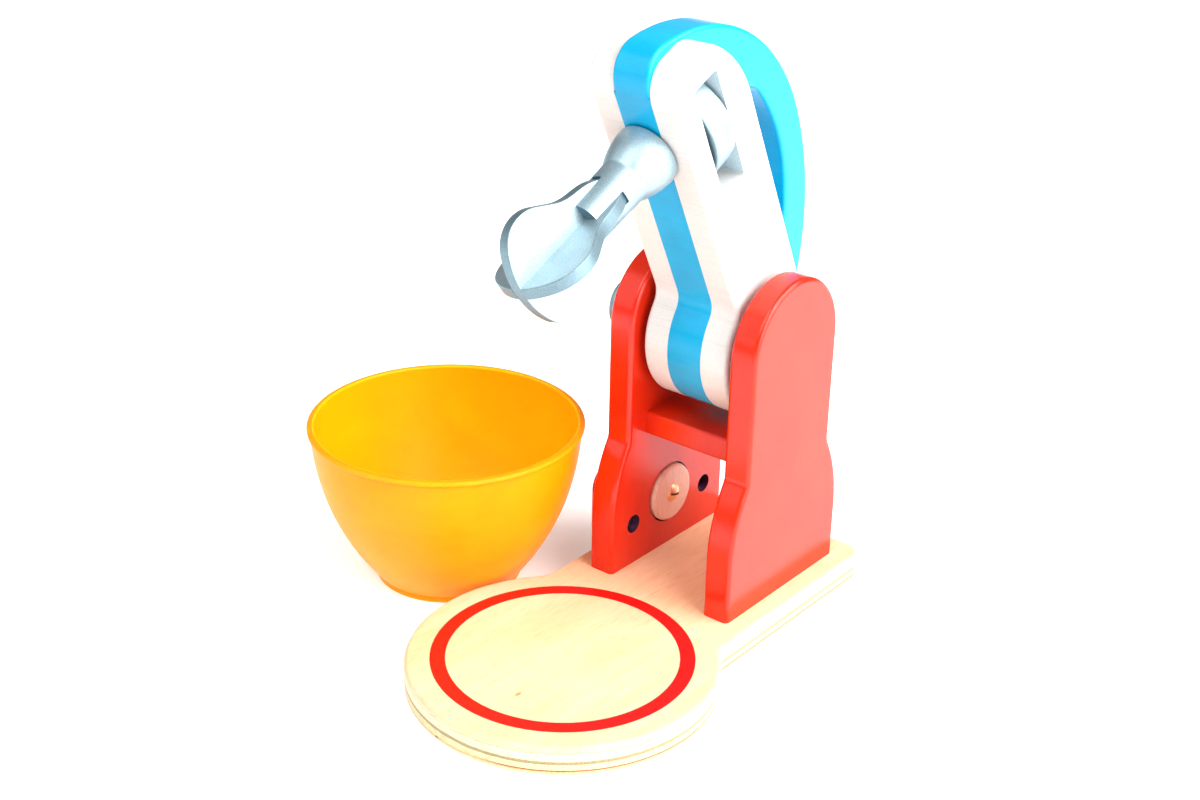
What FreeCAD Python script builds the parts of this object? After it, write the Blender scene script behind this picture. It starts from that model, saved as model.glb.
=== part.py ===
import FreeCAD, Part

import math
import os

import Sketcher

# A child's wooden stand mixer: a plywood base with two red cheeks, a laminated head that tips
# between them on a hinge peg, a whisk turned by a thumb wheel in the head, a speed dial on the
# left cheek and a loose mixing bowl.
#
# Frame: +Z up, -Y is the front (bowl side), +X the right cheek. The origin is on the underside of
# the base plate, below the centre of the round bowl stand. All lengths are millimetres.

Vector = FreeCAD.Vector

SIZES = {
    # Base plate: a round bowl stand that runs into a straight neck under the cheeks.
    "plate_thickness": 12.0,
    "stand_radius": 60.7,
    "neck_margin": 8.8,
    "neck_fillet_radius": 8.0,
    "tail_margin": 11.6,
    "tail_corner_radius": 8.0,
    "plate_edge_radius": 1.5,
    # Cheeks: broad foot, swelling flank, narrow post and round crown.
    "cheek_gap": 46.4,
    "cheek_thickness": 12.0,
    "cheek_centre_reach": 97.0,
    "cheek_foot_half_width": 38.4,
    "cheek_foot_rise": 23.5,
    "cheek_flank_radius": 64.0,
    "cheek_waist_radius": 6.0,
    "cheek_crown_radius": 28.8,
    "cheek_crown_above_hinge": 3.9,
    "cheek_edge_radius": 2.0,
    # Crossbar between the cheeks, centred on them below the head's heel, and its dowels.
    "crossbar_depth": 36.0,
    "crossbar_heel_clearance": 5.5,
    "crossbar_thickness": 10.0,
    "crossbar_edge_radius": 1.2,
    "dowel_diameter": 6.0,
    "dowel_depth_in_bar": 12.0,
    "dowel_depth_in_cheek": 8.0,
    "dowel_inset": 9.0,
    # Screws from below that hold the cheeks on the plate.
    "cheek_screw_inset": 6.4,
    "cheek_screw_length": 26.0,
    "cheek_screw_diameter": 4.0,
    "cheek_screw_head_diameter": 8.0,
    "cheek_screw_head_height": 2.4,
    "cheek_screw_sink": 0.4,
    # Hinge: one peg through both cheeks and the head, turned by a knob on the left.
    "hinge_setback": 2.5,
    "hinge_rise": 102.0,
    "hinge_peg_diameter": 10.0,
    "hinge_peg_blind_depth": 8.0,
    "bore_end_clearance": 0.5,
    "bearing_clearance": 0.08,
    "hinge_knob_diameter": 22.8,
    "hinge_knob_length": 16.5,
    "hinge_knob_edge_radius": 1.8,
    "hinge_knob_grip_depth": 9.0,
    "knob_standoff": 0.4,
    "spacer_diameter": 20.0,
    "side_clearance": 0.1,
    # Head: a thick middle board with the handle, and a thinner board glued on each side.
    "head_raise_angle": 64.0,
    "core_thickness": 16.0,
    "panel_thickness": 12.0,
    "heel_radius": 28.5,
    "heel_fillet_radius": 8.0,
    "underside_drop": 10.6,
    "panel_nose_wall": 10.9,
    "panel_chin_radius": 12.0,
    "panel_brow_radius": 12.4,
    "panel_brow_rise": 8.0,
    "panel_bridge_radius": 42.0,
    "panel_edge_radius": 2.0,
    "core_chin_radius": 12.5,
    "core_front_radius": 75.0,
    "grip_apex_setback": 35.4,
    "grip_apex_rise": 65.4,
    "core_edge_radius": 1.5,
    # Hand opening under the grip: flat floor, arched roof, tight rear end.
    "opening_centre_setback": 3.0,
    "grip_thickness": 15.2,
    "opening_roof_radius": 72.0,
    "opening_front_setback": 7.2,
    "opening_front_radius": 10.0,
    "opening_corner_radius": 4.0,
    # Thumb wheel, its slot through the head, and the whisk spindle below it.
    "whisk_reach": 102.4,
    "wheel_diameter": 45.0,
    "wheel_thickness": 12.0,
    "wheel_edge_radius": 1.2,
    "wheel_level": 6.0,
    "slot_end_clearance": 1.5,
    "slot_side_clearance": 1.0,
    "slot_corner_radius": 1.5,
    "axle_diameter": 8.0,
    "axle_depth_above_slot": 7.0,
    "axle_depth_in_spindle": 15.0,
    "spindle_gap": 0.6,
    "bell_radius": 12.8,
    "bell_length": 16.0,
    "bell_side_radius": 33.0,
    "bell_edge_radius": 0.8,
    "bell_shoulder_radius": 2.0,
    "shaft_top_radius": 9.3,
    "shaft_end_radius": 8.8,
    "spindle_length": 40.0,
    # Whisk: two boards halved into each other and glued in crossed slots of the shaft.
    "board_thickness": 4.7,
    "board_slot_depth": 15.5,
    "board_reach": 77.9,
    "board_half_width": 21.5,
    "board_tip_radius": 30.5,
    "board_hip_radius": 13.0,
    "board_shoulder_radius": 16.0,
    "board_shoulder_turn": 31.0,
    "board_flare_length": 7.7,
    "board_waist_radius": 23.0,
    "board_waist_turn": 23.0,
    "board_neck_length": 4.4,
    "board_neck_radius": 24.0,
    "board_halving_depth": 26.5,
    "board_edge_radius": 0.5,
    "whisk_turn_angle": 17.6,
    # Speed dial: knob and plate outside the left cheek, disc and screw inside it.
    "dial_rise": 24.2,
    "dial_disc_diameter": 25.2,
    "dial_disc_proud": 1.8,
    "dial_disc_edge_radius": 1.5,
    "dial_recess_depth": 6.0,
    "dial_recess_clearance": 0.7,
    "dial_recess_floor_clearance": 0.3,
    "dial_spindle_diameter": 12.0,
    "dial_knob_diameter": 34.0,
    "dial_knob_length": 11.0,
    "dial_knob_edge_radius": 2.5,
    "dial_knob_socket_depth": 7.0,
    "dial_screw_diameter": 4.0,
    "dial_screw_length": 15.0,
    "dial_screw_head_diameter": 8.0,
    "dial_screw_head_height": 2.0,
    "dial_screw_slot_width": 1.0,
    "dial_screw_slot_depth": 0.9,
    "dial_screw_turn_angle": 12.0,
    "dial_plate_thickness": 4.0,
    "dial_plate_length": 66.0,
    "dial_plate_height": 36.0,
    "dial_plate_corner_radius": 10.0,
    "dial_plate_edge_radius": 1.0,
    "plate_screw_inset": 8.5,
    "plate_screw_drop": 5.6,
    "plate_screw_bore_diameter": 8.0,
    "plate_screw_bore_depth": 6.0,
    "plate_screw_diameter": 3.5,
    "plate_screw_grip": 3.0,
    "plate_screw_head_diameter": 7.0,
    "plate_screw_head_height": 2.4,
    # Bowl: thin moulded wall on a foot ring, with a beaded rim. It stands beside the base.
    "bowl_x": -94.2,
    "bowl_y": 35.8,
    "bowl_height": 69.5,
    "bowl_side_radius": 109.5,
    "bowl_side_centre_rise": 72.1,
    "bowl_rim_radius": 57.6,
    "bowl_wall": 2.0,
    "bowl_bead_radius": 1.2,
    "bowl_lip_radius": 0.8,
    "bowl_floor_rise": 5.0,
    "bowl_floor_corner_radius": 14.0,
    "bowl_foot_radius": 31.0,
    "bowl_foot_height": 3.0,
    "bowl_foot_width": 2.4,
    "bowl_foot_recess": 2.0,
}

doc = FreeCAD.newDocument("StandMixer")
sheet = doc.addObject("Spreadsheet::Sheet", "Sizes")
for row, (alias, number) in enumerate(SIZES.items(), start=1):
    sheet.set(f"A{row}", alias)
    sheet.set(f"B{row}", str(number))
    sheet.setAlias(f"B{row}", alias)
doc.recompute()

SUB_PARTS = []


def size(alias):
    """The number in the sheet's cell with this alias."""
    return float(sheet.get(alias))


def bind(item, prop, expression):
    """Bind a property to the sheet. In the text, a size is written as its alias in brackets."""
    item.setExpression(prop, expression.replace("[", "Sizes.").replace("]", ""))


# ---------------------------------------------------------------------------------------------
# Outlines: closed runs of lines and arcs, walked anticlockwise from a start point.
# ---------------------------------------------------------------------------------------------

class Outline:
    """A closed walk of straight lines and arcs in a plane."""

    WIDEST_ARC = 120.0

    def __init__(self, x, y, heading=0.0):
        self.start = (x, y)
        self.at = (x, y)
        self.heading = heading
        self.pieces = []

    def line(self, length):
        turned = math.radians(self.heading)
        self.line_to(self.at[0] + length * math.cos(turned), self.at[1] + length * math.sin(turned))

    def line_to(self, x, y):
        self.heading = math.degrees(math.atan2(y - self.at[1], x - self.at[0]))
        self.pieces.append(("line", self.at, (x, y)))
        self.at = (x, y)

    def turn(self, degrees):
        self.heading += degrees

    def arc(self, radius, degrees, alias=None):
        """An arc tangent to the heading, to the left when the angle is positive."""
        count = math.ceil(abs(degrees) / self.WIDEST_ARC)
        side = math.copysign(1.0, degrees)
        for _ in range(count):
            first = math.radians(self.heading - side * 90.0)
            centre = (self.at[0] - radius * math.cos(first), self.at[1] - radius * math.sin(first))
            last = first + math.radians(degrees / count)
            end = (centre[0] + radius * math.cos(last), centre[1] + radius * math.sin(last))
            self.pieces.append(("arc", self.at, end, centre, radius, first, last, alias))
            self.at = end
            self.heading += degrees / count

    def arc_to(self, x, y, radius, side=1.0, alias=None):
        """The shorter arc to a point, bulging to the right of the walk when side is positive."""
        chord = math.hypot(x - self.at[0], y - self.at[1])
        half_turn = math.asin(chord / 2.0 / radius)
        along = math.degrees(math.atan2(y - self.at[1], x - self.at[0]))
        self.heading = along - side * math.degrees(half_turn)
        self.arc(radius, side * 2.0 * math.degrees(half_turn), alias)


def new_sketch(body, name, role="XY_Plane", offset=0.0):
    """An empty sketch on one of the body's own origin planes."""
    plane = next(item for item in body.Origin.OriginFeatures if item.Role == role)
    sketch = body.newObject("Sketcher::SketchObject", name)
    sketch.AttachmentSupport = [(plane, "")]
    sketch.MapMode = "FlatFace"
    sketch.AttachmentOffset = FreeCAD.Placement(Vector(0, 0, offset), FreeCAD.Rotation())
    return sketch


def pin_vertex(sketch, index, vertex, point):
    """Fix one end of a sketch edge at its coordinates."""
    sketch.addConstraint(Sketcher.Constraint("DistanceX", index, vertex, point[0]))
    sketch.addConstraint(Sketcher.Constraint("DistanceY", index, vertex, point[1]))


def draw_outline(sketch, outline):
    """Put a closed outline into a sketch, fully constrained, with its radii bound to the sheet."""
    last = outline.pieces[-1]
    outline.pieces[-1] = last[:2] + (outline.start,) + last[3:]
    first_index = None
    previous = None
    for piece in outline.pieces:
        kind, start, end = piece[:3]
        if kind == "line":
            edge = Part.LineSegment(Vector(*start), Vector(*end))
            index = sketch.addGeometry(edge)
            ends = (1, 2)
        else:
            centre, radius, first, last_angle, alias = piece[3:]
            circle = Part.Circle(Vector(*centre), Vector(0, 0, 1), radius)
            index = sketch.addGeometry(Part.ArcOfCircle(circle, min(first, last_angle), max(first, last_angle)))
            ends = (1, 2) if last_angle > first else (2, 1)
            label = f"radius_{index}"
            constraint = sketch.addConstraint(Sketcher.Constraint("Radius", index, radius))
            sketch.renameConstraint(constraint, label)
            if alias:
                bind(sketch, f"Constraints.{label}", f"[{alias}]")
        pin_vertex(sketch, index, ends[0], start)
        if previous is None:
            first_index = (index, ends[0])
        else:
            sketch.addConstraint(Sketcher.Constraint("Coincident", previous[0], previous[1], index, ends[0]))
        previous = (index, ends[1])
    sketch.addConstraint(Sketcher.Constraint("Coincident", previous[0], previous[1], *first_index))


def draw_circle(sketch, x, y, diameter_expression):
    """Put one circle into a sketch, its diameter bound to the sheet."""
    index = sketch.addGeometry(Part.Circle(Vector(x, y), Vector(0, 0, 1), 1.0))
    constraint = sketch.addConstraint(Sketcher.Constraint("Diameter", index, 2.0))
    label = f"diameter_{index}"
    sketch.renameConstraint(constraint, label)
    pin_vertex(sketch, index, 3, (x, y))
    bind(sketch, f"Constraints.{label}", diameter_expression)


def rounded_rectangle(x, y, width, height, radius, alias):
    """A rectangle about a centre, with round corners."""
    outline = Outline(x - width / 2.0 + radius, y - height / 2.0)
    for side in (width, height, width, height):
        outline.line(side - 2.0 * radius)
        outline.arc(radius, 90.0, alias)
    return outline


# ---------------------------------------------------------------------------------------------
# Features: small wrappers that bind a feature's size and keep the list of sub-parts.
# ---------------------------------------------------------------------------------------------

def sub_part(kind, label):
    """A new sub-part; its label names its file."""
    item = doc.addObject(kind, label)
    item.Label = label
    SUB_PARTS.append(item)
    return item


def pad(body, sketch, length_expression, midplane=False):
    feature = body.newObject("PartDesign::Pad", f"{sketch.Name}_pad")
    feature.Profile = sketch
    feature.Midplane = midplane
    bind(feature, "Length", length_expression)
    doc.recompute()
    return feature


def pocket(body, sketch, length_expression, midplane=False, reverse=False):
    """A cut that must take something away."""
    before = body.Shape.Volume
    feature = body.newObject("PartDesign::Pocket", f"{sketch.Name}_pocket")
    feature.Profile = sketch
    feature.Midplane = midplane
    feature.Reversed = reverse
    bind(feature, "Length", length_expression)
    doc.recompute()
    if body.Shape.Volume > before - 0.01:
        raise RuntimeError(f"{feature.Name} cuts nothing")
    return feature


def revolve(body, sketch):
    feature = body.newObject("PartDesign::Revolution", f"{sketch.Name}_turned")
    feature.Profile = sketch
    feature.ReferenceAxis = (sketch, ["V_Axis"])
    feature.Angle = 360.0
    doc.recompute()
    return feature


def round_edges(body, wanted, radius_expression):
    """Round the edges of the body's last feature that the test accepts."""
    base = body.Tip
    names = [f"Edge{i}" for i, edge in enumerate(base.Shape.Edges, start=1) if wanted(edge)]
    feature = body.newObject("PartDesign::Fillet", f"{base.Name}_rounded")
    feature.Base = (base, names)
    bind(feature, "Radius", radius_expression)
    doc.recompute()
    return feature


def edges_at(axis, *levels):
    """A test for edges that lie wholly in a plane across an axis, at one of the levels."""
    def wanted(edge):
        box = edge.BoundBox
        low = getattr(box, f"{axis}Min")
        high = getattr(box, f"{axis}Max")
        return any(abs(low - level) < 1e-4 and abs(high - level) < 1e-4 for level in levels)
    return wanted


def place(item, position, rotation=FreeCAD.Rotation()):
    item.Placement = FreeCAD.Placement(position, rotation)


# ---------------------------------------------------------------------------------------------
# Places that several sub-parts share, worked out once.
# ---------------------------------------------------------------------------------------------

plate_top = size("plate_thickness")
cheek_inner = size("cheek_gap") / 2.0
cheek_outer = cheek_inner + size("cheek_thickness")
cheek_y = size("cheek_centre_reach")
head_half = size("core_thickness") / 2.0 + size("panel_thickness")
pivot = Vector(0, cheek_y + size("hinge_setback"), plate_top + size("hinge_rise"))
crossbar_top = pivot.z - size("heel_radius") - size("crossbar_heel_clearance")
dial_y = cheek_y
dial_z = plate_top + size("dial_rise")
bearing_extra = 2.0 * size("bearing_clearance")

# The head's own axes at rest: forward along the underside, up through the grip, and to the left.
raised = math.radians(size("head_raise_angle"))
head_forward = Vector(0, -math.cos(raised), math.sin(raised))
head_up = Vector(0, math.sin(raised), math.cos(raised))
head_left = head_forward.cross(head_up)
head_rotation = FreeCAD.Rotation(head_forward, head_up, head_left, "ZXY")

# The whisk's own axes at rest: down out of the head, and along the first board.
whisk_turn = math.radians(size("whisk_turn_angle"))
whisk_down = head_up * -1.0
board_along = head_left * -math.sin(whisk_turn) - head_forward * math.cos(whisk_turn)
whisk_rotation = FreeCAD.Rotation(board_along, whisk_down.cross(board_along), whisk_down, "ZXY")
whisk_foot = pivot + head_forward * size("whisk_reach")

# The grip's highest point lies behind the whisk's axis.
grip_apex_reach = size("whisk_reach") - size("grip_apex_setback")

# Levels along the whisk's axis, measured down from the level of the hinge.
wheel_half = size("wheel_thickness") / 2.0
slot_half_height = wheel_half + size("slot_side_clearance")
slot_half_length = size("wheel_diameter") / 2.0 + size("slot_end_clearance")
bell_top = size("underside_drop") + size("spindle_gap")
spindle_end = bell_top + size("spindle_length")
board_top = spindle_end - size("board_slot_depth")
board_tip = size("underside_drop") + size("board_reach")

# Turned pieces lie along X: their own +Z runs from the right cheek to the left one.
turned_left = FreeCAD.Rotation(Vector(0, 1, 0), Vector(0, 0, -1), Vector(-1, 0, 0), "ZXY")
turned_right = FreeCAD.Rotation(Vector(0, 1, 0), Vector(0, 0, 1), Vector(1, 0, 0), "ZXY")


# ---------------------------------------------------------------------------------------------
# Base plate, cheeks and crossbar.
# ---------------------------------------------------------------------------------------------

def base_plate():
    """The plywood plate: round stand, concave shoulders, straight neck, round tail corners."""
    stand = size("stand_radius")
    neck = cheek_outer + size("neck_margin")
    fillet = size("neck_fillet_radius")
    corner = size("tail_corner_radius")
    tail = cheek_y + size("cheek_foot_half_width") + size("tail_margin")
    shoulder_y = math.sqrt((stand + fillet) ** 2 - (neck + fillet) ** 2)
    shoulder_turn = math.degrees(math.atan2(shoulder_y, neck + fillet))
    outline = Outline(0.0, tail, 180.0)
    outline.line(neck - corner)
    outline.arc(corner, 90.0, "tail_corner_radius")
    outline.line(tail - corner - shoulder_y)
    outline.arc(fillet, -shoulder_turn, "neck_fillet_radius")
    outline.arc(stand, 180.0 + 2.0 * shoulder_turn, "stand_radius")
    outline.arc(fillet, -shoulder_turn, "neck_fillet_radius")
    outline.line(tail - corner - shoulder_y)
    outline.arc(corner, 90.0, "tail_corner_radius")
    outline.line(neck - corner)
    body = sub_part("PartDesign::Body", "base_plate")
    sketch = new_sketch(body, "plate_outline")
    draw_outline(sketch, outline)
    pad(body, sketch, "[plate_thickness]")
    round_edges(body, edges_at("Z", 0.0, plate_top), "[plate_edge_radius]")
    bores = new_sketch(body, "plate_screw_bores")
    sinks = new_sketch(body, "plate_screw_sinks")
    for x, y in cheek_screw_places():
        draw_circle(bores, x, y, "[cheek_screw_diameter]")
        slope = "([cheek_screw_head_diameter] - [cheek_screw_diameter]) / 2 / [cheek_screw_head_height]"
        draw_circle(sinks, x, y, f"[cheek_screw_head_diameter] + 2 * [cheek_screw_sink] * {slope}")
    pocket(body, bores, "2 * [plate_thickness]", midplane=True)
    sink = pocket(body, sinks, "[cheek_screw_sink] + [cheek_screw_head_height]", reverse=True)
    bind(sink, "TaperAngle", f"-atan({slope})")
    doc.recompute()


def cheek_screw_places():
    """Where the four screws stand: two under each cheek."""
    middle = cheek_inner + size("cheek_thickness") / 2.0
    spread = size("cheek_foot_half_width") - size("cheek_screw_inset")
    return [(x, cheek_y + y) for x in (-middle, middle) for y in (-spread, spread)]


def cheek_outline():
    """A cheek seen from the side, from the middle of its foot round its crown."""
    foot = size("cheek_foot_half_width")
    rise = size("cheek_foot_rise")
    flank = size("cheek_flank_radius")
    waist = size("cheek_waist_radius")
    crown = size("cheek_crown_radius")
    lean = math.degrees(math.acos(1.0 - (foot - crown) / (flank + waist)))
    crown_rise = size("hinge_rise") + size("cheek_crown_above_hinge")
    post = crown_rise - rise - (flank + waist) * math.sin(math.radians(lean))
    outline = Outline(0.0, 0.0)
    outline.line(foot)
    outline.turn(90.0)
    outline.line(rise)
    outline.arc(flank, lean, "cheek_flank_radius")
    outline.arc(waist, -lean, "cheek_waist_radius")
    outline.line(post)
    outline.arc(crown, 180.0, "cheek_crown_radius")
    outline.line(post)
    outline.arc(waist, -lean, "cheek_waist_radius")
    outline.arc(flank, lean, "cheek_flank_radius")
    outline.line(rise)
    outline.turn(90.0)
    outline.line(foot)
    return outline


def cheek(label, side):
    """One upright cheek. Side is -1 for the left and 1 for the right."""
    inner = side * cheek_inner
    body = sub_part("PartDesign::Body", label)
    sketch = new_sketch(body, f"{label}_outline", "YZ_Plane", min(inner, side * cheek_outer))
    draw_outline(sketch, cheek_outline())
    pad(body, sketch, "[cheek_thickness]")
    inside = edges_at("X", inner, side * cheek_outer)
    round_edges(body, lambda edge: inside(edge) and edge.BoundBox.ZMax > 0.1, "[cheek_edge_radius]")
    place(body, Vector(0, cheek_y, plate_top))

    screws = new_sketch(body, f"{label}_screw_bores")
    for x, y in cheek_screw_places():
        if x * side > 0.0:
            draw_circle(screws, x, y - cheek_y, "[cheek_screw_diameter]")
    pocket(body, screws, "[cheek_screw_length] - [plate_thickness] + [cheek_screw_sink]", reverse=True)

    dowels = new_sketch(body, f"{label}_dowel_bores", "YZ_Plane", inner)
    for y, z in dowel_places():
        draw_circle(dowels, y - cheek_y, z - plate_top, "[dowel_diameter]")
    pocket(body, dowels, "[dowel_depth_in_cheek]", reverse=side > 0)

    hinge = new_sketch(body, f"{label}_hinge_bore", "YZ_Plane", inner)
    draw_circle(hinge, pivot.y - cheek_y, pivot.z - plate_top, "[hinge_peg_diameter] + 2 * [bearing_clearance]")
    depth = "[cheek_thickness]" if side < 0 else "[hinge_peg_blind_depth] + [bore_end_clearance]"
    pocket(body, hinge, depth, reverse=side > 0)
    return body


def dial_bores(body):
    """What the speed dial needs in the left cheek: recess and bore, and two counterbores."""
    recess = new_sketch(body, "dial_recess", "YZ_Plane", -cheek_inner)
    draw_circle(recess, 0.0, size("dial_rise"), "[dial_disc_diameter] + 2 * [dial_recess_clearance]")
    pocket(body, recess, "[dial_recess_depth]")
    bore = new_sketch(body, "dial_bore", "YZ_Plane", -cheek_inner)
    draw_circle(bore, 0.0, size("dial_rise"), "[dial_spindle_diameter] + 2 * [bearing_clearance]")
    pocket(body, bore, "[cheek_thickness]")
    heads = new_sketch(body, "plate_screw_counterbores", "YZ_Plane", -cheek_inner)
    shanks = new_sketch(body, "plate_screw_bores_in_cheek", "YZ_Plane", -cheek_inner)
    for y, z in plate_screw_places():
        draw_circle(heads, y - cheek_y, z - plate_top, "[plate_screw_bore_diameter]")
        draw_circle(shanks, y - cheek_y, z - plate_top, "[plate_screw_diameter]")
    pocket(body, heads, "[plate_screw_bore_depth]")
    pocket(body, shanks, "[cheek_thickness]")


def crossbar():
    """The bar that ties the cheeks together in front of and below the head."""
    body = sub_part("PartDesign::Body", "crossbar")
    depth = size("crossbar_depth")
    height = size("crossbar_thickness")
    radius = size("crossbar_edge_radius")
    middle = crossbar_top - height / 2.0
    sketch = new_sketch(body, "crossbar_section", "YZ_Plane")
    section = rounded_rectangle(cheek_y, middle, depth, height, radius, "crossbar_edge_radius")
    draw_outline(sketch, section)
    pad(body, sketch, "[cheek_gap]", midplane=True)
    for side in (-1, 1):
        dowels = new_sketch(body, f"crossbar_dowel_bores_{'left' if side < 0 else 'right'}", "YZ_Plane",
                            side * cheek_inner)
        for y, z in dowel_places():
            draw_circle(dowels, y, z, "[dowel_diameter]")
        pocket(body, dowels, "[dowel_depth_in_bar]", reverse=side < 0)


def dowel_places():
    """Heights and reaches of the two dowels at each end of the crossbar."""
    reach = size("crossbar_depth") / 2.0 - size("dowel_inset")
    z = crossbar_top - size("crossbar_thickness") / 2.0
    return [(cheek_y - reach, z), (cheek_y + reach, z)]


def cylinder(label, diameter_expression, length_expression, position, rotation=FreeCAD.Rotation()):
    """A plain round pin as a sub-part."""
    pin = sub_part("Part::Cylinder", label)
    bind(pin, "Radius", f"({diameter_expression}) / 2")
    bind(pin, "Height", length_expression)
    place(pin, position, rotation)
    return pin


def crossbar_dowels():
    """Four beech dowels, half in the bar and half in a cheek."""
    reach = "[dowel_depth_in_bar] + [dowel_depth_in_cheek]"
    for side, name in ((-1, "left"), (1, "right")):
        start = cheek_inner - size("dowel_depth_in_bar")
        for (y, z), end in zip(dowel_places(), ("front", "rear")):
            rotation = turned_left if side < 0 else turned_right
            cylinder(f"crossbar_dowel_{name}_{end}", "[dowel_diameter]", reach, Vector(side * start, y, z), rotation)


def screw(label, sizes, position, rotation, countersunk=False, domed=False, slot=None):
    """A screw along its own +Z: head behind 0, flat or domed, or a sunk cone; shank beyond 0."""
    diameter, length, head_diameter, head_height = sizes
    shank = doc.addObject("Part::Cylinder", f"{label}_shank")
    bind(shank, "Radius", f"{diameter} / 2")
    bind(shank, "Height", length)
    head = doc.addObject("Part::Cone" if countersunk else "Part::Cylinder", f"{label}_head")
    bind(head, "Height", head_height)
    if countersunk:
        bind(head, "Radius1", f"{head_diameter} / 2")
        bind(head, "Radius2", f"{diameter} / 2")
    else:
        bind(head, "Radius", f"{head_diameter} / 2")
        bind(head, "Placement.Base.z", f"-{head_height}")
    if domed:
        ball = doc.addObject("Part::Sphere", f"{label}_dome")
        bind(ball, "Radius", f"{head_diameter} ^ 2 / 8 / {head_height} + {head_height} / 2")
        bind(ball, "Placement.Base.z", f"{head_diameter} ^ 2 / 8 / {head_height} - {head_height} / 2")
        cap = doc.addObject("Part::Common", f"{label}_cap")
        cap.Base = head
        cap.Tool = ball
        head = cap
    whole = doc.addObject("Part::Fuse", f"{label}_blank")
    whole.Base = shank
    whole.Tool = head
    if slot:
        width, depth = slot
        cutter = doc.addObject("Part::Box", f"{label}_slot")
        bind(cutter, "Length", f"2 * {head_diameter}")
        bind(cutter, "Width", width)
        bind(cutter, "Height", depth)
        bind(cutter, "Placement.Base.x", f"-{head_diameter}")
        bind(cutter, "Placement.Base.y", f"-{width} / 2")
        bind(cutter, "Placement.Base.z", "0 mm" if countersunk else f"-{head_height}")
        cut = sub_part("Part::Cut", label)
        cut.Base = whole
        cut.Tool = cutter
        place(cut, position, rotation)
        return
    whole.Label = label
    SUB_PARTS.append(whole)
    place(whole, position, rotation)


def cheek_screws():
    """Four countersunk wood screws, up through the plate into the cheeks."""
    sizes = ("[cheek_screw_diameter]", "[cheek_screw_length]", "[cheek_screw_head_diameter]",
             "[cheek_screw_head_height]")
    names = ("left_front", "left_rear", "right_front", "right_rear")
    for name, (x, y) in zip(names, cheek_screw_places()):
        position = Vector(x, y, size("cheek_screw_sink"))
        screw(f"cheek_screw_{name}", sizes, position, FreeCAD.Rotation(), countersunk=True,
              slot=("[dial_screw_slot_width]", "[dial_screw_slot_depth]"))


# ---------------------------------------------------------------------------------------------
# Head: outlines in the head's own plane, forward and up from the hinge.
# ---------------------------------------------------------------------------------------------

def heel_join():
    """Where the straight underside runs into the round heel: its reach and the fillet's turn."""
    heel = size("heel_radius")
    fillet = size("heel_fillet_radius")
    drop = size("underside_drop")
    reach = math.sqrt((heel + fillet) ** 2 - (drop + fillet) ** 2)
    below = math.degrees(math.atan2(drop + fillet, reach))
    return reach, below


def close_at_heel(outline, top_angle):
    """From a point of the heel circle at this angle, round the heel and back to the underside."""
    _, below = heel_join()
    outline.arc(size("heel_radius"), 360.0 - below - top_angle, "heel_radius")
    outline.arc(size("heel_fillet_radius"), below - 90.0, "heel_fillet_radius")


def panel_outline():
    """A side board: flat underside, blunt nose, low bridge, straight top, round heel."""
    start, _ = heel_join()
    heel = size("heel_radius")
    nose = size("whisk_reach") + slot_half_length + size("panel_nose_wall")
    chin = size("panel_chin_radius")
    brow = size("panel_brow_radius")
    brow_rise = size("panel_brow_rise")
    bridge = size("panel_bridge_radius")
    drop = size("underside_drop")
    lean = math.degrees(math.asin((brow_rise - heel + bridge) / (bridge - brow)))
    bridge_reach = nose - brow - (bridge - brow) * math.cos(math.radians(lean))
    outline = Outline(start, -drop)
    outline.line(nose - chin - start)
    outline.arc(chin, 90.0, "panel_chin_radius")
    outline.line(brow_rise + drop - chin)
    outline.arc(brow, lean, "panel_brow_radius")
    outline.arc(bridge, 90.0 - lean, "panel_bridge_radius")
    outline.line(bridge_reach)
    close_at_heel(outline, 90.0)
    return outline


def core_front():
    """The reach of the core's chin, and how far its front leans where the chin meets it."""
    chin = size("core_chin_radius")
    front = size("core_front_radius")
    lift = front - size("grip_apex_rise") + chin - size("underside_drop")
    lean = math.degrees(math.asin(lift / (front - chin)))
    return grip_apex_reach + (front - chin) * math.cos(math.radians(lean)), lean


def core_rear():
    """The radius of the grip's rear, and the angle at which it leaves the heel circle."""
    apex_x = grip_apex_reach
    apex_y = size("grip_apex_rise")
    heel = size("heel_radius")
    rear = (apex_x ** 2 + apex_y ** 2 - heel ** 2) / (2.0 * (apex_y - heel))
    return rear, math.degrees(math.atan2(rear - apex_y, -apex_x))


def core_outline():
    """The middle board: it shares underside and heel with the side boards and carries the grip."""
    start, _ = heel_join()
    drop = size("underside_drop")
    chin = size("core_chin_radius")
    front = size("core_front_radius")
    chin_reach, lean = core_front()
    rear, rear_angle = core_rear()
    outline = Outline(start, -drop)
    outline.line(chin_reach - start)
    outline.arc(chin, 90.0 + lean, "core_chin_radius")
    outline.arc(front, 90.0 - lean, "core_front_radius")
    outline.arc(rear, rear_angle - 90.0)
    close_at_heel(outline, rear_angle)
    return outline


def square_outline():
    """The part of the middle board that is flush with the side boards and keeps square edges."""
    start, _ = heel_join()
    drop = size("underside_drop")
    chin_reach, _ = core_front()
    _, rear_angle = core_rear()
    angle = rear_angle - 2.0
    heel = size("heel_radius")
    back = (heel * math.cos(math.radians(angle)), heel * math.sin(math.radians(angle)))
    outline = Outline(start, -drop)
    outline.line(chin_reach - 0.5 - start)
    outline.turn(90.0)
    outline.line(drop + back[1])
    outline.line_to(*back)
    outline.turn(angle + 90.0 - outline.heading)
    close_at_heel(outline, angle)
    return outline


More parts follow.
